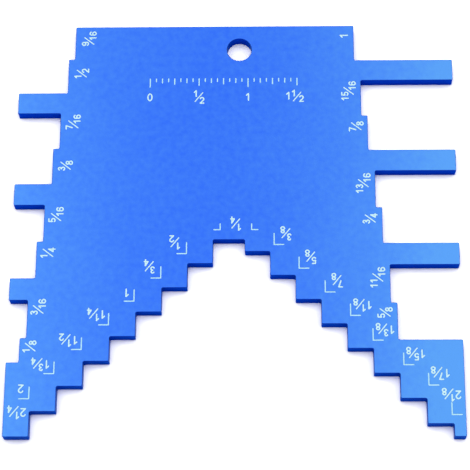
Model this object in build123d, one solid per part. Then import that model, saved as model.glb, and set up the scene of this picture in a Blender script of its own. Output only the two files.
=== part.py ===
from build123d import *
import math
import os

# A flat gauge for a saw blade's height and a router bit's depth. It is one sheet of blue
# anodised aluminium with stepped edges, and its engraved numbers, corner marks and short
# scale are filled with white paint. It lies face up, with X to the right across the face
# and Y up it. The origin is under the middle of the sheet.

# The sheet
plate_thickness = 3.175
edge_break = 0.1
inside_corner_radius = 0.4
outside_corner_radius = 0.3
hole_radius = 3.175
hole_from_left = 57.2
hole_from_top = 6.8

# The stepped vee between the feet, whose stairs are read against the blade's highest tooth
# and numbered in sixteenths of an inch, up from the crown
vee_stairs = 8
vee_step = 6.35
vee_crown_width = 7.94
vee_right_drop = 3.175
right_foot_width = 2.96
left_foot_stairs = 3
left_foot_relief = 0.25
crown_sixteenths = 4
stair_sixteenths = 4

# The landings down each side, which are read against the router bit. A landing is set in
# from the side by its own number of sixteenths of an inch, and a prong is flush with it.
sixteenth = 1.5875
inch_sixteenths = 16
prong_width = 5.8
left_top_landing = 9.4
left_second_landing = 9.6
left_upper_landing = 9.85
left_lower_landing = 9.75
left_last_landing = 6.25
right_top_landing = 10.0
right_upper_landing = 9.95
right_lower_landing = 9.6

left_rows = [
    (9 * sixteenth, left_top_landing),
    (8 * sixteenth, left_second_landing),
    (0, prong_width),
    (7 * sixteenth, left_upper_landing),
    (6 * sixteenth, left_lower_landing),
    (0, prong_width),
    (5 * sixteenth, left_upper_landing),
    (4 * sixteenth, left_lower_landing),
    (0, prong_width),
    (3 * sixteenth, left_upper_landing),
    (2 * sixteenth, left_last_landing),
]
right_rows = [
    (16 * sixteenth, right_top_landing),
    (0, prong_width),
    (15 * sixteenth, right_upper_landing),
    (14 * sixteenth, right_lower_landing),
    (0, prong_width),
    (13 * sixteenth, right_upper_landing),
    (12 * sixteenth, right_lower_landing),
    (0, prong_width),
    (11 * sixteenth, right_upper_landing),
    (10 * sixteenth, right_lower_landing),
]

# The engraving, cut by a round cutter and filled with paint to just under the face
engraving_depth = 0.15
paint_thickness = 0.12
cut_overrun = 1.0
digit_stroke = 0.36
mark_stroke = 0.3
digit_width = 1.25
digit_height = 1.95
whole_digit_width = 1.4
whole_digit_height = 2.25
digit_gap = 0.1
slash_run = 1.94
slash_rise = 2.44
mark_width = 2.4
mark_height = 2.95
crown_mark_arm = 1.55

# Where a fraction's figures lie, from the middle of its slash, in digit widths and heights.
# The denominator of a mixed number, and of the router's eighth, stands further off and higher.
numerator_shares = (0.67, 0.51)
denominator_shares = (0.64, 0.48)
raised_denominator_shares = (0.90, 0.29)
raised_router_sixteenths = 2
whole_rise_share = 0.13
quarter_turn = 90
half_turn = 180

# Where the numbers lie beside the landings: how far in from the landing's edge, in digit
# heights, and how far down the landing, in its own height
router_number_shares = {
    9: (1.82, 0.425),
    8: (1.79, 0.42),
    7: (1.71, 0.31),
    6: (1.72, 0.485),
    5: (1.56, 0.332),
    4: (1.52, 0.31),
    3: (1.39, 0.247),
    2: (1.40, 0.376),
    16: (1.31, 0.293),
    15: (1.62, 0.30),
    14: (1.50, 0.318),
    13: (1.56, 0.342),
    12: (1.58, 0.32),
    11: (1.60, 0.341),
    10: (1.59, 0.273),
}

# Where the corner marks lie, from their stair's corner in stair widths, and the numbers,
# from their corner mark in mark and digit sizes added up. The stairs are counted down from
# the crown, on the left and then on the right.
left_mark_shares = [
    (-0.05, 0.415),
    (-0.05, 0.40),
    (-0.08, 0.445),
    (-0.055, 0.475),
    (-0.085, 0.475),
    (-0.115, 0.505),
    (-0.04, 0.505),
]
left_number_shares = [
    (-0.81, 0.62),
    (-0.795, 0.635),
    (-0.51, 0.445),
    (-1.015, 0.60),
    (-1.05, 0.535),
    (-1.10, 0.53),
    (-0.56, 0.51),
]
right_mark_shares = [
    (0.165, 0.285),
    (0.145, 0.29),
    (0.16, 0.30),
    (0.135, 0.335),
    (-0.01, 0.325),
    (0.15, 0.335),
    (0.085, 0.52),
    (-0.065, 0.355),
]
right_number_shares = [
    (0.815, 0.615),
    (0.795, 0.62),
    (0.815, 0.635),
    (0.66, 0.595),
    (0.655, 0.595),
    (0.65, 0.615),
    (0.63, 0.66),
    (-0.165, 1.055),
]
crown_mark_shares = (0.22, 0.42)
crown_number_shares = (0.715, 0.68)
left_foot_number_shares = (0.415, 1.00)

# The short scale in sixteenths of an inch below the hole
scale_from_left = 34.1
scale_from_top = 14.95
scale_sixteenths = 24
tick_length = 2.6
tick_length_shares = {16: 1.0, 8: 0.85, 4: 0.7, 2: 0.55, 1: 0.42}
scale_number_gap = 0.8

# Sizes that follow from the ones above
vee_height = vee_stairs * vee_step
vee_crown_right = vee_height + vee_crown_width
plate_width = vee_crown_right + vee_height + right_foot_width
left_foot_height = left_foot_stairs * vee_step - left_foot_relief
plate_height = sum(height for _, height in left_rows) + left_foot_height
recess_floor = plate_thickness - engraving_depth
to_origin = Location((-plate_width / 2, -plate_height / 2, 0))


def landings(rows):
    """Each row of a side as its depth, its top level and its height, downwards."""
    level = plate_height
    found = []
    for depth, height in rows:
        found.append((depth, level, height))
        level -= height
    return found


def side_outline(rows):
    """Corners of one side from the top down, as distance in from the side and level."""
    points = []
    for depth, top, height in landings(rows):
        points += [(depth, top), (depth, top - height)]
    foot_top = points[-1][1]
    return points + [(0, foot_top), (0, 0)]


def left_stair_corner(stair):
    """Where a stair left of the crown turns upwards, counted down from the crown."""
    level = vee_height - stair * vee_step
    return level, level


def right_stair_corner(stair):
    """Where a stair right of the crown turns downwards, counted down from the crown."""
    level = vee_height - vee_right_drop - stair * vee_step
    return vee_crown_right + (stair + 1) * vee_step, level


def vee_outline():
    """Corners of the stepped vee, from the left foot over the crown to the right foot."""
    points = []
    for stair in range(vee_stairs, 0, -1):
        x, level = left_stair_corner(stair - 1)
        points += [(x, level - vee_step), (x, level)]
    points.append((vee_crown_right, vee_height))
    for stair in range(vee_stairs):
        x, level = right_stair_corner(stair)
        points += [(x - vee_step, level), (x, level)]
    return points + [(x, 0)]


def corner_radius(before, corner, after):
    """The cutter's radius in an inside corner, and the broken one on an outside corner."""
    turn = (corner[0] - before[0]) * (after[1] - corner[1])
    turn -= (corner[1] - before[1]) * (after[0] - corner[0])
    return outside_corner_radius if turn > 0 else inside_corner_radius


def plate_outline():
    """The sheet's outline, from the top left corner down and round."""
    right_side = [(plate_width - depth, level) for depth, level in side_outline(right_rows)]
    points = side_outline(left_rows) + vee_outline() + right_side[::-1]
    neighbours = zip([points[-1]] + points[:-1], points, points[1:] + [points[0]])
    radii = [corner_radius(*three) for three in neighbours]
    return FilletPolyline(*points, radius=radii, close=True)


def blank_plate():
    """The cut sheet with its hole, edges broken all round both faces."""
    sheet = extrude(make_face(plate_outline()), plate_thickness)
    hole_place = Pos(hole_from_left, plate_height - hole_from_top, plate_thickness / 2)
    sheet -= hole_place * Cylinder(hole_radius, plate_thickness)
    rims = sheet.faces().filter_by(Axis.Z).edges()
    return chamfer(rims, edge_break)


def pen(stroke, *edges):
    """The flat track of a round cutter along joined edges."""
    path = Wire([edge for piece in edges for edge in piece.edges()])
    return Face(path.offset_2d(stroke / 2))


def ring(level, half_width, half_height):
    """The closed track of the cutter round an oval, at a level on the figure's middle line."""
    half = digit_stroke / 2
    outer = Ellipse(half_width + half, half_height + half)
    return Pos(0, level) * (outer - Ellipse(half_width - half, half_height - half))


def lobe_radii(height):
    """Upper and lower radius of a figure of two lobes, whose tracks lie side by side."""
    lobe_gap_share = 0.3
    upper_share = 0.46
    both = (height - lobe_gap_share * digit_stroke) / 2
    return both * upper_share, both * (1 - upper_share)


def digit_0(width, height):
    return [ring(0, width / 2, height / 2)]


def digit_1(width, height):
    tip_share, stem_share, flag_share = -0.38, 0.12, 0.24
    tip = (tip_share * width, flag_share * height)
    stem = stem_share * width
    return [pen(digit_stroke, Polyline(tip, (stem, height / 2), (stem, -height / 2)))]


def digit_2(width, height):
    bowl = width / 2
    start_angle, sweep = 165, -205
    top = CenterArc((0, height / 2 - bowl), bowl, start_angle, sweep)
    tail = Polyline(top @ 1, (-bowl, -height / 2), (bowl, -height / 2))
    return [pen(digit_stroke, top, tail)]


def digit_3(width, height):
    upper, lower = lobe_radii(height)
    start_angle, sweep = 160, -250
    upper_lobe = CenterArc((0, height / 2 - upper), upper, start_angle, sweep)
    lower_lobe = CenterArc((0, lower - height / 2), lower, quarter_turn, sweep)
    return [pen(digit_stroke, upper_lobe), pen(digit_stroke, lower_lobe)]


def digit_4(width, height):
    bar_share, stem_share = -0.2, 0.2
    bar = bar_share * height
    stem = stem_share * width
    arm = Polyline((stem, height / 2), (-width / 2, bar), (width / 2, bar))
    upright = Line((stem, height / 2), (stem, -height / 2))
    return [pen(digit_stroke, arm), pen(digit_stroke, upright)]


def digit_5(width, height):
    bowl = width / 2
    bar_end_share, neck_share = 0.42, -0.36
    start_angle, sweep = 140, -285
    lower = CenterArc((0, bowl - height / 2), bowl, start_angle, sweep)
    corner = (neck_share * width, height / 2)
    top = Polyline((bar_end_share * width, height / 2), corner, lower @ 0)
    return [pen(digit_stroke, top), pen(digit_stroke, lower)]


def digit_6(width, height):
    bowl = width / 2
    start_angle, sweep = 25, 155
    join_angle, join_share = 150, 1.06
    join = Pos(0, bowl - height / 2) * Rot(0, 0, join_angle) * Pos(join_share * bowl, 0)
    hook = CenterArc((0, height / 2 - bowl), bowl, start_angle, sweep)
    neck = Line(hook @ 1, join.position)
    return [ring(bowl - height / 2, bowl, bowl), pen(digit_stroke, hook, neck)]


def digit_7(width, height):
    foot_share = -0.12
    foot = (foot_share * width, -height / 2)
    track = Polyline((-width / 2, height / 2), (width / 2, height / 2), foot)
    return [pen(digit_stroke, track)]


def digit_8(width, height):
    upper, lower = lobe_radii(height)
    upper_width_share = 0.42
    top = ring(height / 2 - upper, upper_width_share * width, upper)
    return [top, ring(lower - height / 2, width / 2, lower)]


def digit_9(width, height):
    return [Rot(0, 0, half_turn) * face for face in digit_6(width, height)]


digit_shapes = [
    digit_0,
    digit_1,
    digit_2,
    digit_3,
    digit_4,
    digit_5,
    digit_6,
    digit_7,
    digit_8,
    digit_9,
]


def figures(number, width, height, first_x, y, backwards=False):
    """A number's figures in a row from its first middle, or ending there if backwards."""
    digits = [int(figure) for figure in str(number)]
    first_x -= (len(digits) - 1) * (width + digit_gap) if backwards else 0
    faces = []
    for place, digit in enumerate(digits):
        x = first_x + place * (width + digit_gap)
        shapes = digit_shapes[digit](width - digit_stroke, height - digit_stroke)
        faces += [Pos(x, y) * shape for shape in shapes]
    return faces


def whole_number(number, x=0, y=0):
    return figures(number, whole_digit_width, whole_digit_height, x, y)


def split_number(sixteenths):
    """Whole inches, numerator and denominator of a number of sixteenths, reduced."""
    whole, rest = divmod(sixteenths, inch_sixteenths)
    common = math.gcd(rest, inch_sixteenths)
    return whole, rest // common, inch_sixteenths // common


def number_shape(sixteenths, raised=False):
    """A number as engraved: whole inches, then a numerator, slash and denominator."""
    whole, numerator, denominator = split_number(sixteenths)
    if numerator == 0:
        return Sketch() + whole_number(whole)
    lower_shares = raised_denominator_shares if whole or raised else denominator_shares
    left, top = numerator_shares[0] * digit_width, numerator_shares[1] * digit_height
    right, low = lower_shares[0] * digit_width, lower_shares[1] * digit_height
    half = (slash_run / 2, slash_rise / 2)
    faces = [pen(mark_stroke, Line((-half[0], -half[1]), half))]
    faces += figures(numerator, digit_width, digit_height, -left, top, backwards=True)
    faces += figures(denominator, digit_width, digit_height, right, -low)
    if whole:
        whole_x = -left - (digit_width + whole_digit_width) / 2 - digit_gap
        faces += whole_number(whole, whole_x, whole_rise_share * digit_height)
    return Sketch() + faces


def number_name(sixteenths):
    whole, numerator, denominator = split_number(sixteenths)
    fraction = f"{numerator}_{denominator}" if numerator else ""
    return "_".join(text for text in (str(whole) if whole else "", fraction) if text)


def router_numbers():
    """The numbers beside the landings, which read upwards."""
    sides = [(0, 1, left_rows), (plate_width, -1, right_rows)]
    shapes = {}
    for edge, inwards, rows in sides:
        for depth, top, height in landings(rows):
            if depth == 0:
                continue
            sixteenths = round(depth / sixteenth)
            inset_share, drop_share = router_number_shares[sixteenths]
            inset = depth + inset_share * digit_height
            place = Pos(edge + inwards * inset, top - drop_share * height)
            number = number_shape(sixteenths, sixteenths == raised_router_sixteenths)
            turned = Rot(0, 0, quarter_turn) * number
            shapes["router_number_" + number_name(sixteenths)] = place * turned
    return shapes


def corner_mark(width, height, side):
    """Two strokes that meet like a stair's corner. The foot points to the given side."""
    return pen(mark_stroke, Polyline((side * width, 0), (0, 0), (0, height)))


def saw_number(sixteenths):
    """A number as it stands beside the stairs, where it reads upside down."""
    return Rot(0, 0, half_turn) * number_shape(sixteenths)


def stair_marks(corners, mark_shares, number_shares, first_sixteenths, side):
    """The corner marks of one flight of stairs and their numbers."""
    shapes = {}
    for stair, corner in enumerate(corners):
        sixteenths = first_sixteenths + stair * stair_sixteenths
        mark_x = corner[0] + mark_shares[stair][0] * vee_step
        mark_y = corner[1] + mark_shares[stair][1] * vee_step
        number_x = mark_x + number_shares[stair][0] * (mark_width + digit_width)
        number_y = mark_y + number_shares[stair][1] * (mark_height + digit_height)
        name = number_name(sixteenths)
        mark = Pos(mark_x, mark_y) * corner_mark(mark_width, mark_height, side)
        shapes["saw_corner_" + name] = Sketch() + mark
        shapes["saw_number_" + name] = Pos(number_x, number_y) * saw_number(sixteenths)
    return shapes


def crown_marks():
    """The number over the crown and the two small marks beside it."""
    left = vee_height + crown_mark_shares[0] * vee_crown_width
    right = vee_crown_right + crown_mark_shares[0] * vee_crown_width
    level = vee_height + crown_mark_shares[1] * vee_step
    marks = [
        Pos(left, level) * corner_mark(crown_mark_arm, crown_mark_arm, -1),
        Pos(right, level) * corner_mark(crown_mark_arm, crown_mark_arm, 1),
    ]
    number_x = vee_height + crown_number_shares[0] * vee_crown_width
    number_y = vee_height + crown_number_shares[1] * vee_step
    number = Pos(number_x, number_y) * saw_number(crown_sixteenths)
    name = number_name(crown_sixteenths)
    return {"saw_corner_" + name: Sketch() + marks, "saw_number_" + name: number}


def left_foot_number():
    """The number on the left foot, which has no corner mark."""
    x, y = (share * vee_step for share in left_foot_number_shares)
    sixteenths = crown_sixteenths + vee_stairs * stair_sixteenths
    return {"saw_number_" + number_name(sixteenths): Pos(x, y) * saw_number(sixteenths)}


def saw_numbers():
    left_corners = [left_stair_corner(stair) for stair in range(1, vee_stairs)]
    right_corners = [right_stair_corner(stair) for stair in range(vee_stairs)]
    left_first = crown_sixteenths + stair_sixteenths
    right_first = crown_sixteenths + stair_sixteenths // 2
    shapes = crown_marks()
    shapes |= stair_marks(left_corners, left_mark_shares, left_number_shares, left_first, -1)
    shapes |= stair_marks(right_corners, right_mark_shares, right_number_shares, right_first, 1)
    return shapes | left_foot_number()


def scale_ticks():
    """One stroke for each sixteenth, longer at eighths, quarters, halves and inches."""
    strokes = []
    for count in range(scale_sixteenths + 1):
        step = math.gcd(count, inch_sixteenths)
        length = tick_length_shares[step] * tick_length - mark_stroke
        stroke = pen(mark_stroke, Line((0, 0), (0, -length)))
        strokes.append(Pos(count * sixteenth, -mark_stroke / 2) * stroke)
    return Sketch() + strokes


def scale_numbers():
    """The numbers under the inches and half inches of the scale."""
    numbers = Sketch() + whole_number(0)
    half_inch = inch_sixteenths // 2
    for count in range(half_inch, scale_sixteenths + 1, half_inch):
        numbers += Pos(count * sixteenth, 0) * number_shape(count)
    return numbers


def short_scale():
    place = Pos(scale_from_left, plate_height - scale_from_top)
    fraction_rise = numerator_shares[1] * digit_height + digit_height / 2
    drop = Pos(0, -tick_length - scale_number_gap - fraction_rise)
    return {"scale_ticks": place * scale_ticks(), "scale_numbers": place * drop * scale_numbers()}


def main():
    os.makedirs("parts", exist_ok=True)
    marks = router_numbers() | saw_numbers() | short_scale()
    plate = blank_plate()
    recesses = []
    for name, shape in marks.items():
        floor = Pos(0, 0, recess_floor) * shape
        recesses += extrude(floor, engraving_depth + cut_overrun).solids()
        paint = extrude(floor, paint_thickness)
        export_step(to_origin * paint, f"parts/{name}.step")
    export_step(to_origin * (plate - recesses), "parts/gauge_plate.step")


main()
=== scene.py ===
import bmesh
import bpy
import math
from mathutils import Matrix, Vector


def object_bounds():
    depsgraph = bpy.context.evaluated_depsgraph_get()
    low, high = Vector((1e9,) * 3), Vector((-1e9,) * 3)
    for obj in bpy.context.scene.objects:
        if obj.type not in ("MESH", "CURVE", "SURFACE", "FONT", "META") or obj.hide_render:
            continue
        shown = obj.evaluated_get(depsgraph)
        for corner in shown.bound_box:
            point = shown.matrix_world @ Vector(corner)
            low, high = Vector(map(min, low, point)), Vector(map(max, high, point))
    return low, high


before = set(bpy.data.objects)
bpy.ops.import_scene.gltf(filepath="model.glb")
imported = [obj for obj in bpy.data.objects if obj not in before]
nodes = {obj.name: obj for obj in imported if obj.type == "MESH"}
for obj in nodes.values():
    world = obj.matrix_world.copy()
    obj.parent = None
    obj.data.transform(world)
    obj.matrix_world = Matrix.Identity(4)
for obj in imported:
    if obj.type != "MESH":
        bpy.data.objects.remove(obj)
cad_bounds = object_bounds()


# The camera
# It looks down on the gauge from in front of its feet, a little to the right of the middle,
# through a long lens, as in the photograph. Every length in this file is in metres.
camera_place = (0.01046, -0.16554, 0.43755)
camera_turn_in_degrees = (20.488, 1.278, 0.253)
photo_width_in_pixels = 470
focal_length_in_pixels = 1844
nearest_seen = 0.01

camera = bpy.data.objects.new("camera", bpy.data.cameras.new("camera"))
bpy.context.scene.collection.objects.link(camera)
camera.location = camera_place
camera.rotation_euler = [math.radians(angle) for angle in camera_turn_in_degrees]
camera.data.lens = camera.data.sensor_width * focal_length_in_pixels / photo_width_in_pixels
camera.data.clip_start = nearest_seen
bpy.context.scene.camera = camera
bpy.context.scene.view_settings.view_transform = "Standard"


# The sheet
# One piece of eighth-inch aluminium sheet, rolled, cut to its steps, satin blasted and
# anodised blue. The oxide layer holds the dye, so the metal's own shine is coloured by it.
middle_blue = "346DEF"
# Painted reflection: the pale blue that the faces are painted towards at their ends.
sheen_pale_blue = "589CEC"
# Painted shade: the walls and broken edges are coloured this darker navy, so the shade is not left
# to the light.
shaded_wall_blue = "0A34AA"
glancing_blue = "90B6DA"

# The face's blue is deepest at one place above the middle, and is painted paler outwards as far as
# the right-hand ends, a painted reflection of the bright surroundings. A way up or down the sheet
# counts a quarter as much as a way across it.
deepest_place = (-0.008, 0.030, 0)
palest_distance = cad_bounds[1][0] - deepest_place[0]
paling_across_and_up = (1, 0.25, 0)
paling_power = 2.0

# Broad clouds and a small mottle are added to that, and an even part is taken off.
cloud_size = 0.018
cloud_strength = 0.16
mottle_size = 0.0015
mottle_strength = 0.50
even_part = 0.21
dye_detail = 2.0

# The blasted grain of the faces, the lines that the cutter leaves along the walls, and how
# rough and deep both are.
grain_size = 0.00025
grain_detail = 3.0
grain_contrast = 0.12
cutter_line_height = 0.00015
cutter_line_length = 0.008
cutter_line_detail = 2.0
wall_roughness = 0.20
face_roughness = 0.36
relief_roughness = 0.16
relief_strength = 0.12

# A surface's levelness runs from 0 on a wall to 1 on a face. Below the first number it has
# the walls' finish, and above the second the faces'.
wall_levelness = 0.75
face_levelness = 0.95

# The sockets of a Mix node share their names, so they are called by their places.
mix_share = 0
first_number, second_number = 2, 3
first_colour, second_colour = 6, 7
mixed_colour = 2


def linear_colour(hex_colour):
    """A hex sRGB colour as linear red, green and blue, and an alpha of one."""
    channels = [int(hex_colour[place : place + 2], 16) / 255 for place in (0, 2, 4)]
    toe, slope, offset, power = 0.04045, 12.92, 0.055, 2.4
    linear = [c / slope if c <= toe else ((c + offset) / (1 + offset)) ** power for c in channels]
    return (*linear, 1)


def add_node(owner, kind, inputs, **settings):
    """Adds a node to a material or world. Its inputs are values, or the sockets that feed them."""
    node = owner.node_tree.nodes.new(kind)
    for name, value in settings.items():
        setattr(node, name, value)
    for name, value in inputs.items():
        if isinstance(value, bpy.types.NodeSocket):
            owner.node_tree.links.new(value, node.inputs[name])
        else:
            node.inputs[name].default_value = value
    return node


def new_material(name):
    """An empty material and its output node."""
    material = bpy.data.materials.new(name)
    material.use_nodes = True
    material.node_tree.nodes.clear()
    return material, add_node(material, "ShaderNodeOutputMaterial", {})


def dress(node_name, material):
    """Gives a piece of the frame its finish."""
    nodes[node_name].data.materials.clear()
    nodes[node_name].data.materials.append(material)


def blue_anodised_aluminium():
    """A deep even blue, painted paler outwards as a painted reflection, and milled walls painted
    navy as painted shade.
    """
    material, output = new_material("blue_anodised_aluminium")
    place = add_node(material, "ShaderNodeTexCoord", {})

    # The face colour, painted palest at the prong ends and the outer edges of the feet as a
    # painted reflection, with random clouds and mottle on it
    from_deepest = add_node(
        material,
        "ShaderNodeVectorMath",
        {0: place.outputs["Object"], 1: deepest_place},
        operation="SUBTRACT",
    )
    flattened = add_node(
        material,
        "ShaderNodeVectorMath",
        {0: from_deepest.outputs[0], 1: paling_across_and_up},
        operation="MULTIPLY",
    )
    distance = add_node(
        material, "ShaderNodeVectorMath", {0: flattened.outputs[0]}, operation="LENGTH"
    )
    share = add_node(
        material,
        "ShaderNodeMath",
        {0: distance.outputs["Value"], 1: palest_distance},
        operation="DIVIDE",
    )
    outward_sheen_share = add_node(
        material, "ShaderNodeMath", {0: share.outputs[0], 1: paling_power}, operation="POWER"
    )
    clouds = add_node(
        material,
        "ShaderNodeTexNoise",
        {"Vector": place.outputs["Object"], "Scale": 1 / cloud_size, "Detail": dye_detail},
    )
    cloudy = add_node(
        material,
        "ShaderNodeMath",
        {0: clouds.outputs["Fac"], 1: cloud_strength, 2: outward_sheen_share.outputs[0]},
        operation="MULTIPLY_ADD",
    )
    mottle = add_node(
        material,
        "ShaderNodeTexNoise",
        {"Vector": place.outputs["Object"], "Scale": 1 / mottle_size, "Detail": dye_detail},
    )
    mottled = add_node(
        material,
        "ShaderNodeMath",
        {0: mottle.outputs["Fac"], 1: mottle_strength, 2: cloudy.outputs[0]},
        operation="MULTIPLY_ADD",
    )
    mottle_and_sheen = add_node(
        material,
        "ShaderNodeMath",
        {0: mottled.outputs[0], 1: even_part},
        operation="SUBTRACT",
        use_clamp=True,
    )
    # Painted reflection mixed with random mottle: the face pales towards the pale blue outwards.
    face_colour = add_node(
        material,
        "ShaderNodeMix",
        {
            mix_share: mottle_and_sheen.outputs[0],
            first_colour: linear_colour(middle_blue),
            second_colour: linear_colour(sheen_pale_blue),
        },
        data_type="RGBA",
    )

    # The blasted grain, drawn coarser than the real grit so that it shows
    grain = add_node(
        material,
        "ShaderNodeTexNoise",
        {"Vector": place.outputs["Object"], "Scale": 1 / grain_size, "Detail": grain_detail},
    )
    brightness = add_node(
        material,
        "ShaderNodeMath",
        {0: grain.outputs["Fac"], 1: grain_contrast, 2: 1 - grain_contrast / 2},
        operation="MULTIPLY_ADD",
    )

    # The walls and the broken edges, which the cutter leaves smooth but for fine lines along them.
    # They are coloured a darker navy than the faces, which is painted shade: every wall and broken
    # edge is darkened, whichever way it faces.
    facing = add_node(material, "ShaderNodeSeparateXYZ", {"Vector": place.outputs["Normal"]})
    levelness = add_node(
        material, "ShaderNodeMath", {0: facing.outputs["Z"]}, operation="ABSOLUTE"
    )
    faceness = add_node(
        material,
        "ShaderNodeMapRange",
        {"Value": levelness.outputs[0], "From Min": wall_levelness, "From Max": face_levelness},
    )
    # Painted shade: walls and broken edges take the darker navy, faces take the face colour.
    face_and_shaded_walls = add_node(
        material,
        "ShaderNodeMix",
        {
            mix_share: faceness.outputs[0],
            first_colour: linear_colour(shaded_wall_blue),
            second_colour: face_colour.outputs[mixed_colour],
        },
        data_type="RGBA",
    )
    colour = add_node(
        material,
        "ShaderNodeVectorMath",
        {0: face_and_shaded_walls.outputs[mixed_colour], "Scale": brightness.outputs[0]},
        operation="SCALE",
    )
    along_cut = add_node(
        material,
        "ShaderNodeMapping",
        {
            "Vector": place.outputs["Object"],
            "Scale": (1 / cutter_line_length, 1 / cutter_line_length, 1 / cutter_line_height),
        },
    )
    cutter_lines = add_node(
        material,
        "ShaderNodeTexNoise",
        {"Vector": along_cut.outputs[0], "Scale": 1.0, "Detail": cutter_line_detail},
    )
    relief = add_node(
        material,
        "ShaderNodeMix",
        {
            mix_share: faceness.outputs[0],
            first_number: cutter_lines.outputs["Fac"],
            second_number: grain.outputs["Fac"],
        },
    )
    smoothest = add_node(
        material,
        "ShaderNodeMapRange",
        {"Value": faceness.outputs[0], "To Min": wall_roughness, "To Max": face_roughness},
    )
    roughness = add_node(
        material,
        "ShaderNodeMath",
        {0: relief.outputs[0], 1: relief_roughness, 2: smoothest.outputs[0]},
        operation="MULTIPLY_ADD",
    )
    bump = add_node(
        material,
        "ShaderNodeBump",
        {"Height": relief.outputs[0], "Strength": relief_strength, "Distance": grain_size},
    )
    metal = add_node(
        material,
        "ShaderNodeBsdfPrincipled",
        {
            "Base Color": colour.outputs[0],
            "Metallic": 1.0,
            "Specular Tint": linear_colour(glancing_blue),
            "Roughness": roughness.outputs[0],
            "Normal": bump.outputs[0],
        },
    )
    material.node_tree.links.new(metal.outputs[0], output.inputs["Surface"])
    return material


dress("gauge_plate", blue_anodised_aluminium())


# The marks
# White enamel wiped into the engraving and cured, so that it lies just under the face. It
# fills the numbers well, and lies thinner in the fine strokes of the corners and the scale.
enamel_white = "D5FBFF"
thin_enamel = "B4F0FF"
thinness_in_numbers = 0.15
thinness_in_strokes = 0.75
enamel_patch_size = 0.0006
enamel_patch_detail = 2.0
enamel_patch_contrast = 0.8
enamel_wave_height = 0.00005
enamel_wave_strength = 0.2
enamel_roughness = 0.45
enamel_ior = 1.5


def fill_enamel(name, thinness):
    """Satin white, with the blue showing faintly through where the film is thin."""
    material, output = new_material(name)
    place = add_node(material, "ShaderNodeTexCoord", {})
    patches = add_node(
        material,
        "ShaderNodeTexNoise",
        {
            "Vector": place.outputs["Object"],
            "Scale": 1 / enamel_patch_size,
            "Detail": enamel_patch_detail,
        },
    )
    lost_white = add_node(
        material,
        "ShaderNodeMath",
        {
            0: patches.outputs["Fac"],
            1: enamel_patch_contrast,
            2: thinness - enamel_patch_contrast / 2,
        },
        operation="MULTIPLY_ADD",
        use_clamp=True,
    )
    colour = add_node(
        material,
        "ShaderNodeMix",
        {
            mix_share: lost_white.outputs[0],
            first_colour: linear_colour(enamel_white),
            second_colour: linear_colour(thin_enamel),
        },
        data_type="RGBA",
    )
    bump = add_node(
        material,
        "ShaderNodeBump",
        {
            "Height": patches.outputs["Fac"],
            "Strength": enamel_wave_strength,
            "Distance": enamel_wave_height,
        },
    )
    enamel = add_node(
        material,
        "ShaderNodeBsdfPrincipled",
        {
            "Base Color": colour.outputs[mixed_colour],
            "Roughness": enamel_roughness,
            "IOR": enamel_ior,
            "Normal": bump.outputs[0],
        },
    )
    material.node_tree.links.new(enamel.outputs[0], output.inputs["Surface"])
    return material


full_enamel = fill_enamel("white_fill_enamel", thinness_in_numbers)
wiped_enamel = fill_enamel("thin_fill_enamel", thinness_in_strokes)
for name in nodes:
    if name.startswith("saw_corner") or name == "scale_ticks":
        dress(name, wiped_enamel)
    elif name != "gauge_plate":
        dress(name, full_enamel)


# The table
# A sheet of plain matt white paper that the gauge lies on. It runs far past the gauge on all
# sides, so that its own edges are far off.
paper_half_width = 1.5
paper_white = 0.85
seen_white = 1.52


def seen_rays(owner):
    """One for the rays that show a surface to the eye, straight or in a reflection."""
    rays = add_node(owner, "ShaderNodeLightPath", {})
    mirrored = add_node(
        owner,
        "ShaderNodeMath",
        {0: rays.outputs["Is Glossy Ray"], 1: rays.outputs["Is Transmission Ray"]},
        operation="MAXIMUM",
    )
    seen = add_node(
        owner,
        "ShaderNodeMath",
        {0: rays.outputs["Is Camera Ray"], 1: mirrored.outputs[0]},
        operation="MAXIMUM",
    )
    return seen.outputs[0]


def white_paper():
    """Plain matt white, seen a little over white so that only the shadow stands out."""
    material, output = new_material("white_paper")
    level = add_node(
        material,
        "ShaderNodeMapRange",
        {"Value": seen_rays(material), "To Min": paper_white, "To Max": seen_white},
    )
    paper = add_node(material, "ShaderNodeBsdfDiffuse", {"Color": level.outputs[0]})
    material.node_tree.links.new(paper.outputs[0], output.inputs["Surface"])
    return material


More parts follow.
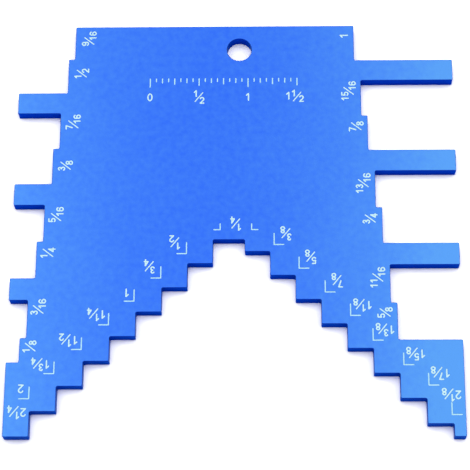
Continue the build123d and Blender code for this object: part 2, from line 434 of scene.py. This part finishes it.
paper_shape = bmesh.new()
bmesh.ops.create_grid(paper_shape, x_segments=1, y_segments=1, size=paper_half_width)
paper_mesh = bpy.data.meshes.new("paper")
paper_shape.to_mesh(paper_mesh)
paper_shape.free()
paper = bpy.data.objects.new("paper", paper_mesh)
paper.data.materials.append(white_paper())
bpy.context.scene.collection.objects.link(paper)


# The light
# A white tent, brightest overhead and a little to the back, with a broad soft lamp high on
# each side and behind, so that the walls in front stand in the shade.
tent_white = "FFFFFF"
tent_side_level = 0.15
tent_roof_level = 2.35
tent_seen_level = 1.0
roof_falloff = 6.0
roof_tilt = math.radians(8)
lamp_height = 0.90
lamp_from_side = 0.90
lamp_behind = 0.35
lamp_size = 0.70
left_power = 3.2
right_power = 3.1

tent = bpy.data.worlds.new("white_tent")
tent.use_nodes = True
background = tent.node_tree.nodes["Background"]
background.inputs["Color"].default_value = linear_colour(tent_white)
direction = add_node(tent, "ShaderNodeTexCoord", {})
from_roof = add_node(
    tent,
    "ShaderNodeVectorMath",
    {0: direction.outputs["Generated"], 1: (0, math.sin(roof_tilt), math.cos(roof_tilt))},
    operation="DOT_PRODUCT",
)
roof = add_node(
    tent,
    "ShaderNodeMath",
    {0: from_roof.outputs["Value"], 1: roof_falloff},
    operation="POWER",
    use_clamp=True,
)
tent_level = add_node(
    tent,
    "ShaderNodeMapRange",
    {"Value": roof.outputs[0], "To Min": tent_side_level, "To Max": tent_roof_level},
)
strength = add_node(
    tent,
    "ShaderNodeMix",
    {
        mix_share: seen_rays(tent),
        first_number: tent_level.outputs[0],
        second_number: tent_seen_level,
    },
)
tent.node_tree.links.new(strength.outputs[0], background.inputs["Strength"])
bpy.context.scene.world = tent

for name, side, power in (("left_lamp", -1, left_power), ("right_lamp", 1, right_power)):
    lamp = bpy.data.objects.new(name, bpy.data.lights.new(name, "AREA"))
    lamp.data.shape = "SQUARE"
    lamp.data.size = lamp_size
    lamp.data.energy = power
    lamp.location = (side * lamp_from_side, lamp_behind, lamp_height)
    lamp.rotation_euler = (-lamp.location).to_track_quat("-Z", "Y").to_euler()
    bpy.context.scene.collection.objects.link(lamp)
